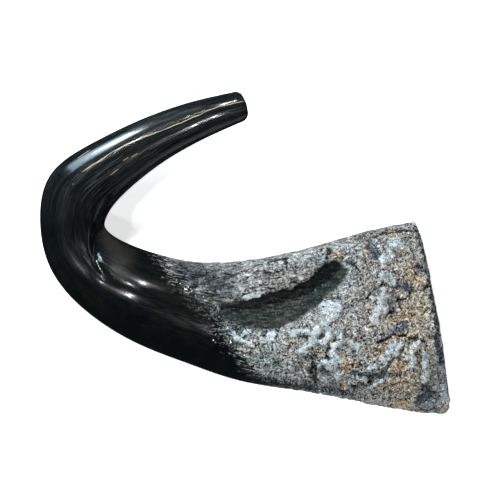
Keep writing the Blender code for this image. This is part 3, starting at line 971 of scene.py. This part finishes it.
# %% Grain, speckle and wrinkle
def new_group(name, inputs, output):
    """An empty shader group with named number or vector inputs and one number output."""
    tree = bpy.data.node_groups.new(name, "ShaderNodeTree")
    for label, value in inputs.items():
        kind = "NodeSocketVector" if value is None else "NodeSocketFloat"
        socket = tree.interface.new_socket(label, in_out="INPUT", socket_type=kind)
        if value is not None:
            socket.default_value = value
    tree.interface.new_socket(output, in_out="OUTPUT", socket_type="NodeSocketFloat")
    return tree, add(tree, "NodeGroupInput").outputs


def grain_group():
    """Streaks of a width and a length, along the third part of the grain map."""
    tree, given = new_group("horn grain", {"Grain": None, "Width": 0.001, "Length": 0.02}, "Streak")
    wide = worked(tree, "DIVIDE", 1.0, given["Width"])
    long = worked(tree, "DIVIDE", 1.0, given["Length"])
    per_metre = add(tree, "ShaderNodeCombineXYZ", {0: wide, 1: wide, 2: long}).outputs[0]
    values = {"Vector": stretched(tree, given["Grain"], per_metre), "Scale": 1.0, "Detail": 3.0,
              "Roughness": 0.6, "Distortion": 0.25}
    streak = add(tree, "ShaderNodeTexNoise", values).outputs[0]
    add(tree, "NodeGroupOutput", {"Streak": blended(tree, streak, 0.3, 0.72)})
    return tree


def speckle_group():
    """Uneven spots. A small contrast gives them hard edges."""
    inputs = {"Place": None, "Size": 0.002, "Contrast": 0.16}
    tree, given = new_group("horn speckle", inputs, "Speckle")
    values = {"Vector": given["Place"], "Scale": worked(tree, "DIVIDE", 1.0, given["Size"]),
              "Detail": 4.0, "Roughness": 0.68, "Distortion": 1.7}
    speckle = add(tree, "ShaderNodeTexNoise", values).outputs[0]
    low = minus(tree, 0.5, given["Contrast"])
    high = plus(tree, 0.5, given["Contrast"])
    add(tree, "NodeGroupOutput", {"Speckle": blended(tree, speckle, low, high)})
    return tree


def wrinkle_group():
    """Thin winding lines, where a warped noise passes through its middle value."""
    inputs = {"Place": None, "Size": 0.004, "Width": 0.03, "Seed": 0.0}
    tree, given = new_group("horn wrinkle", inputs, "Line")
    values = {"Vector": given["Place"], "W": given["Seed"], "Detail": 2.5, "Roughness": 0.6,
              "Distortion": 1.1, "Scale": worked(tree, "DIVIDE", 1.0, given["Size"])}
    field = add(tree, "ShaderNodeTexNoise", values, noise_dimensions="4D").outputs[0]
    off = worked(tree, "ABSOLUTE", minus(tree, field, 0.5))
    add(tree, "NodeGroupOutput", {"Line": blended(tree, off, 0.0, given["Width"], 1.0, 0.0)})
    return tree


GRAIN = grain_group()
SPECKLE = speckle_group()
WRINKLE = wrinkle_group()
print("shared effects:", GRAIN.name, SPECKLE.name, WRINKLE.name)


# %% Place an effect, mix colours, and dress a material
def set_input(tree, socket, value):
    """Links a socket to another, or writes a number or a colour into it."""
    if isinstance(value, bpy.types.NodeSocket):
        tree.links.new(value, socket)
    elif isinstance(value, tuple):
        socket.default_value = (*value, 1.0)
    else:
        socket.default_value = value


def placed(tree, group, **values):
    """One use of a shared group, with its own values."""
    node = add(tree, "ShaderNodeGroup", node_tree=group)
    for name, value in values.items():
        set_input(tree, node.inputs[name], value)
    return node.outputs[0]


def mixed(tree, share, first, second, blend="MIX"):
    """A mix of two colours."""
    node = add(tree, "ShaderNodeMix", data_type="RGBA", blend_type=blend)
    for socket, value in zip((node.inputs[0], node.inputs[6], node.inputs[7]), (share, first, second)):
        set_input(tree, socket, value)
    return node.outputs[2]


def on_mesh(tree, name):
    """A value that the mesh keeps, read inside a finish."""
    return add(tree, "ShaderNodeAttribute", attribute_name=name).outputs


def ramp(tree, share, stops):
    """Colours along a scale."""
    node = add(tree, "ShaderNodeValToRGB", {0: share})
    elements = node.color_ramp.elements
    while len(elements) < len(stops):
        elements.new(0.5)
    for element, (place, colour) in zip(elements, stops):
        element.position = place
        element.color = (*colour, 1.0)
    return node.outputs[0]


def dressed(material):
    """A material's node tree, its shader, and the place on the object."""
    material.use_nodes = True
    tree = material.node_tree
    place = add(tree, "ShaderNodeTexCoord").outputs["Object"]
    return tree, tree.nodes["Principled BSDF"], place


def connect(tree, shader, colour, roughness, height, strength, distance):
    """Feeds the shader its colour, its roughness and a bump of so many metres."""
    tree.links.new(colour, shader.inputs["Base Color"])
    tree.links.new(roughness, shader.inputs["Roughness"])
    bump = add(tree, "ShaderNodeBump", {"Height": height, "Strength": strength, "Distance": distance})
    tree.links.new(bump.outputs[0], shader.inputs["Normal"])


# %% [markdown]
# ## The skin: black glass and grey bark
#
# Polished buffalo horn is nearly black with a clear, wet shine. The shine has two layers: the
# horn itself spreads light into a soft glow, and the buffed surface over it gives sharp points.
# A coat over a slightly rougher base does both. The boss is the same horn, but broken fibres
# and old varnish make it grey, with black cracks and brown stains, and its pale bluish tops are
# partly painted glints. One material covers both, led by the values kept on the mesh, because on
# the horn one turns into the other with no seam.

# %% The skin's colours
INK = (0.0006, 0.0008, 0.0013)
SMOKE = (0.0045, 0.0065, 0.0085)
OLIVE = (0.007, 0.009, 0.003)
SCRATCHED = (0.032, 0.038, 0.040)
WORN_HORN = (0.024, 0.022, 0.019)
CREAM = (0.50, 0.46, 0.36)
TAN = (1.20, 0.86, 0.55)  # a tint to multiply by
# Greys from black to bluish white; the palest stand partly for painted glints on the varnish
BARK = (
    (0.06, (0.004, 0.004, 0.004)),
    (0.28, (0.050, 0.050, 0.048)),
    (0.46, (0.175, 0.186, 0.188)),
    (0.64, (0.400, 0.440, 0.455)),
    (0.90, (0.880, 0.950, 0.970)),
)
# The trough's tones: dark smooth horn with painted shade
TROUGH_DARK_AND_SHADE_TONES = ((0.1, (0.004, 0.006, 0.006)), (0.5, (0.026, 0.036, 0.034)), (0.95, (0.130, 0.128, 0.110)))

# %% The patterns that the skin is mixed from, in metres
STREAKS = {"fine_streak": (0.0009, 0.014), "scratch": (0.0008, 0.030), "long_streak": (0.0035, 0.09),
           "dashes": (0.0012, 0.0095)}  # width and length
SPECKLES = {"pits": (0.0022, 0.045), "patches": (0.0065, 0.16), "blotches": (0.0028, 0.10),
            "regions": (0.03, 0.14)}  # size, and contrast as a number
WRINKLES = {"seams": (0.0050, 0.034, 0.0), "threads": (0.0030, 0.034, 4.0),
            "veins": (0.0060, 0.030, 9.0), "splits": (0.0042, 0.030, 2.0)}  # size, width and seed
SPLITS_ALONG = 0.33  # how far the grain map is squeezed for the splits, which run along the horn
ON_MESH = ("rough", "polish", "roll", "dusk", "relief", "lift", "hairline", "hair_fade",
           "short_hairs", "worn")


def skin_patterns(tree, place):
    """Every number that the skin is mixed from, under its name."""
    grain = on_mesh(tree, "grain_at")["Vector"]
    found = {name: on_mesh(tree, name)["Fac"] for name in ON_MESH}
    for name, (width, length) in STREAKS.items():
        found[name] = placed(tree, GRAIN, Grain=grain, Width=width, Length=length)
    for name, (size, contrast) in SPECKLES.items():
        found[name] = placed(tree, SPECKLE, Place=place, Size=size, Contrast=contrast)
    along = stretched(tree, grain, (1.0, 1.0, SPLITS_ALONG))
    for name, (size, width, seed) in WRINKLES.items():
        spot = along if name == "splits" else place
        found[name] = placed(tree, WRINKLE, Place=spot, Size=size, Width=width, Seed=seed)
    found["metres_along"] = add(tree, "ShaderNodeSeparateXYZ", {0: grain}).outputs["Z"]
    return SimpleNamespace(place=place, hue=on_mesh(tree, "hue")["Vector"], **found)


# %% The polished arm: black horn with streaks, scratches, a worn place and pale hairs
HAIR_WANDER, HAIR_SCALE = 1.2, 130.0  # mm to either side, and waves to a metre
HAIR_CORE, HAIR_EDGE = 0.10, 0.42  # mm from the hairline
SCRATCHED_FROM = (0.35, 0.41)  # metres along the horn


def hair_mask(tree, at):
    """The long hairline, which wanders a little, and the fainter short hairs."""
    wander = add(tree, "ShaderNodeTexNoise", {"Vector": at.place, "Scale": HAIR_SCALE, "Detail": 3.0})
    aside = scaled(tree, wander.outputs[0], 2 * HAIR_WANDER, -HAIR_WANDER)
    off_line = worked(tree, "ABSOLUTE", plus(tree, at.hairline, aside))
    long_hair = times(tree, blended(tree, off_line, HAIR_CORE, HAIR_EDGE, 0.8, 0.0), at.hair_fade)
    short_hair = blended(tree, at.short_hairs, 0.1, 0.6, 0.35, 0.0)
    hairs = worked(tree, "MAXIMUM", long_hair, short_hair)
    return times(tree, hairs, blended(tree, at.regions, 0.0, 0.5, 0.6, 1.0))


def worn_mask(tree, at):
    return times(tree, at.worn, scaled(tree, at.regions, 0.3, 0.7))


def arm_colour(tree, at):
    colour = mixed(tree, times(tree, at.fine_streak, 0.6), INK, SMOKE)
    colour = mixed(tree, times(tree, at.long_streak, times(tree, at.regions, 0.6)), colour, OLIVE)
    past = blended(tree, at.metres_along, *SCRATCHED_FROM)
    colour = mixed(tree, times(tree, blended(tree, at.scratch, 0.55, 0.95), past), colour, SCRATCHED)
    colour = mixed(tree, times(tree, worn_mask(tree, at), 0.75), colour, WORN_HORN)
    return mixed(tree, hair_mask(tree, at), colour, CREAM)


# %% The bark: a tone from its patterns, a ramp of greys, and brown and blue over it
MIDDLE_TONE = 0.60
BARK_START, FLAKY_START = -0.58, -0.36  # these bring the patterns' mean to about zero


def bark_tone(tree, at):
    """How light the bark is: curled fibres in general, lengthwise flakes on the rolled edge."""
    curled = weighed(tree, BARK_START, (
        (at.pits, 0.55), (at.patches, 0.27), (at.relief, 0.05), (at.dashes, 0.14),
        (at.threads, 0.70), (at.veins, 0.30), (at.seams, -0.85)))
    flaky = weighed(tree, FLAKY_START, (
        (at.dashes, 0.34), (at.patches, 0.12), (at.pits, 0.30), (at.relief, 0.10), (at.splits, -0.50)))
    tone = times(tree, faded(tree, at.roll, curled, flaky), scaled(tree, at.polish, -0.55, 1.0))
    lifted = times(tree, at.lift, scaled(tree, at.pits, 0.75, 0.40))
    return plus(tree, plus(tree, tone, MIDDLE_TONE), lifted, clamp=True)


def bark_colour(tree, at):
    colour = ramp(tree, bark_tone(tree, at), BARK)
    tanned = times(tree, at.regions, times(tree, at.blotches, 0.5))
    colour = mixed(tree, tanned, colour, TAN, "MULTIPLY")
    # The trough: dark smooth horn with painted shade in it
    trough_shade_tone = scaled(tree, at.dashes, 0.5, times(tree, at.pits, 0.4))
    colour = mixed(tree, at.dusk, colour, ramp(tree, trough_shade_tone, TROUGH_DARK_AND_SHADE_TONES))
    stained = blended(tree, at.blotches, 0.15, 0.65, 0.35, 1.0)
    return mixed(tree, stained, colour, at.hue, "MULTIPLY")


def bark_height(tree, at):
    height = weighed(tree, times(tree, at.pits, 0.4), ((at.patches, 0.4), (at.threads, 0.35)))
    height = scaled(tree, worked(tree, "MAXIMUM", at.seams, at.splits), -0.6, height)
    height = times(tree, height, scaled(tree, at.polish, -0.7, 1.0))
    return times(tree, height, scaled(tree, at.dusk, -0.7, 1.0))


# %% The skin's finish
NECK_GAIN, NECK_START = 1.9, -1.05  # how bark thins out to dashes on the black
SKIN_IOR, COAT_ROUGHNESS = 1.54, 0.06
SKIN_COAT, BARK_COAT = 0.4, 0.4  # the coat on the black, and what the varnished bark has more
STREAK_HEIGHT, SKIN_BUMP = 0.010, 0.0012  # share of the bump, and its metres


def paint_skin(material):
    """Polished black on the arm, grey bark on the boss, one fading into the other."""
    tree, shader, place = dressed(material)
    at = skin_patterns(tree, place)
    broken = weighed(tree, NECK_START, ((at.patches, 0.35), (at.dashes, 0.75)))
    barked = blended(tree, scaled(tree, at.rough, NECK_GAIN, broken), 0.10, 0.70)
    colour = mixed(tree, barked, arm_colour(tree, at), bark_colour(tree, at))
    arm_roughness = weighed(tree, 0.10, ((at.fine_streak, 0.15), (worn_mask(tree, at), 0.28)))
    roughness = faded(tree, barked, arm_roughness, scaled(tree, at.polish, -0.10, 0.26))
    height = scaled(tree, at.fine_streak, STREAK_HEIGHT, times(tree, bark_height(tree, at), barked))
    connect(tree, shader, colour, roughness, height, 1.0, SKIN_BUMP)
    shader.inputs["Base Color"].default_value = (*INK, 1.0)
    shader.inputs["Coat Weight"].default_value = SKIN_COAT
    tree.links.new(scaled(tree, barked, BARK_COAT, SKIN_COAT), shader.inputs["Coat Weight"])
    shader.inputs["Coat Roughness"].default_value = COAT_ROUGHNESS
    shader.inputs["IOR"].default_value = SKIN_IOR


paint_skin(horn_finish)
print("nodes in the skin's finish:", len(horn_finish.node_tree.nodes))

# %% [markdown]
# ## The hollow and the sawn face
#
# Inside, a horn sheath is dry, dull and streaked along its growth, paler than the skin because
# nobody oiled it. The saw left flat faces with fine parallel marks, sanded but not polished.

# %% Their finishes
HOLLOW = ((0.1, (0.035, 0.030, 0.025)), (0.55, (0.105, 0.088, 0.068)), (0.95, (0.23, 0.20, 0.155)))
SAWN = ((0.15, (0.012, 0.011, 0.010)), (0.6, (0.045, 0.042, 0.038)), (1.0, (0.13, 0.115, 0.09)))
HOLLOW_SQUEEZE = (0.12, 1.0, 1.0)  # draws the hollow's streaks out along the boss
SAW_SLANT = 12  # degrees


def paint_hollow(material):
    """Dry brown horn with lengthwise streaks."""
    tree, shader, place = dressed(material)
    along = stretched(tree, place, HOLLOW_SQUEEZE)
    streak = placed(tree, GRAIN, Grain=along, Width=0.0018, Length=0.002)
    speck = placed(tree, SPECKLE, Place=place, Size=0.004, Contrast=0.2)
    tone = scaled(tree, speck, 0.4, times(tree, streak, 0.6))
    connect(tree, shader, ramp(tree, tone, HOLLOW), scaled(tree, speck, 0.2, 0.6), tone, 0.6, 0.0008)


def paint_sawn(material):
    """Dark horn with the saw's parallel marks."""
    tree, shader, place = dressed(material)
    slant = (0.0, math.radians(SAW_SLANT), 0.0)
    lined = add(tree, "ShaderNodeMapping", {"Vector": place, "Rotation": slant}).outputs[0]
    marks = placed(tree, GRAIN, Grain=lined, Width=0.03, Length=0.0009)
    speck = placed(tree, SPECKLE, Place=place, Size=0.003, Contrast=0.22)
    tone = scaled(tree, speck, 0.65, times(tree, marks, 0.35))
    connect(tree, shader, ramp(tree, tone, SAWN), scaled(tree, speck, 0.18, 0.34), marks, 0.4, 0.0003)


paint_hollow(core_finish)
paint_sawn(sawn_finish)
print("finishes:", [finish.name for finish in (horn_finish, core_finish, sawn_finish)])

# %% [markdown]
# ## Table, lights and camera
#
# A black mirror shows only what it reflects, so the lights shape the arm. A large window low on
# one side, with a brighter pane in it, lays the broad sheen on the back of the hook. A faint
# side window adds a glow, and four small lamps high above give the sharp points. The bark needs
# more light than that, so a soft key and a soft fill shine on the horn without being mirrored
# in it, because their reflections would whiten the arm. The table isn't mirrored either. The
# rest of the room stays nearly dark.


# %% The table
TABLE_REACH = 4  # m from its middle to each side
TABLE_GREY, TABLE_ROUGHNESS, TABLE_GLOW = 0.86, 0.9, 0.72


def pale_table():
    """A pale table that lies under the horn and glows a little, so that it is nearly white."""
    mesh = bpy.data.meshes.new("table")
    corners = [(x * TABLE_REACH, y * TABLE_REACH, 0) for x, y in ((-1, -1), (1, -1), (1, 1), (-1, 1))]
    mesh.from_pydata(corners, [], [(0, 1, 2, 3)])
    table = bpy.data.objects.new("table", mesh)
    bpy.context.scene.collection.objects.link(table)
    material = bpy.data.materials.new("pale table")
    material.use_nodes = True
    shader = material.node_tree.nodes["Principled BSDF"]
    shader.inputs["Base Color"].default_value = (TABLE_GREY, TABLE_GREY, TABLE_GREY, 1.0)
    shader.inputs["Roughness"].default_value = TABLE_ROUGHNESS
    shader.inputs["Specular IOR Level"].default_value = 0.0
    shader.inputs["Emission Color"].default_value = (1.0, 1.0, 1.0, 1.0)
    shader.inputs["Emission Strength"].default_value = TABLE_GLOW
    mesh.materials.append(material)
    table.visible_glossy = False


pale_table()


# %% The lights
AIM_HEIGHT = 0.04  # m above the table


def lamp(name, azimuth, elevation, distance, size, power, colour=(1.0, 1.0, 1.0)):
    """A rectangular light aimed at the middle of the horn. Azimuth is counted from +X to +Y."""
    light = bpy.data.lights.new(name, "AREA")
    light.shape = "RECTANGLE"
    light.size, light.size_y = size
    light.energy = power
    light.color = colour
    turn, tilt = math.radians(azimuth), math.radians(elevation)
    way = Vector((math.cos(turn) * math.cos(tilt), math.sin(turn) * math.cos(tilt), math.sin(tilt)))
    obj = bpy.data.objects.new(name, light)
    obj.location = Vector((0, 0, AIM_HEIGHT)) + way * distance
    obj.rotation_euler = way.to_track_quat("Z", "Y").to_euler()
    bpy.context.scene.collection.objects.link(obj)
    return obj


# azimuth and elevation in degrees, distance and size in m, power in W
lamp("window", 131, 14, 1.1, (0.26, 0.56), 2.6, (0.62, 0.84, 1.0))
lamp("bright pane", 127, 17, 1.1, (0.08, 0.30), 2.0, (0.78, 0.92, 1.0))
lamp("side window", 53, 19, 1.1, (0.30, 0.30), 0.30, (0.84, 0.92, 1.0))
lamp("first lamp", 133, 52, 1.3, (0.03, 0.03), 0.6)
lamp("second lamp", 107, 46, 1.3, (0.04, 0.04), 3.0)
lamp("third lamp", -105, 65, 1.3, (0.05, 0.05), 2.5)
lamp("fourth lamp", -175, 55, 1.3, (0.05, 0.05), 3.0)
soft_key = lamp("soft key", 122, 44, 1.3, (0.12, 0.12), 25.0)
soft_fill = lamp("soft fill", -65, 30, 1.3, (0.40, 0.40), 8.5)
for soft in (soft_key, soft_fill):
    soft.visible_glossy = False

ROOM = (0.008, 0.014, 0.018, 1.0)
world = bpy.data.worlds.new("dark room")
bpy.context.scene.world = world
world.use_nodes = True
world.node_tree.nodes["Background"].inputs["Color"].default_value = ROOM
print("lamps:", len(bpy.data.lights))

# %% The camera, straight above
VIEW_WIDTH, VIEW_HEIGHT = 0.4176, 1.0  # m across, seen from this far above the horn's middle
HORN_MIDDLE = 0.045  # m above the table
SENSOR = 36.0  # mm
view = bpy.data.cameras.new("camera")
view.sensor_width = SENSOR
view.lens = SENSOR * VIEW_HEIGHT / VIEW_WIDTH
camera = bpy.data.objects.new("camera", view)
camera.location = (SHIFT[0] * MM, SHIFT[1] * MM, HORN_MIDDLE + VIEW_HEIGHT)
bpy.context.scene.collection.objects.link(camera)
bpy.context.scene.camera = camera
bpy.context.scene.view_settings.view_transform = "Standard"
print("lens, mm:", round(view.lens, 1))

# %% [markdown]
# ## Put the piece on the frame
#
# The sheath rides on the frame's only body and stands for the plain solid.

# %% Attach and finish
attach(horn_body, "root")
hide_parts("horn")
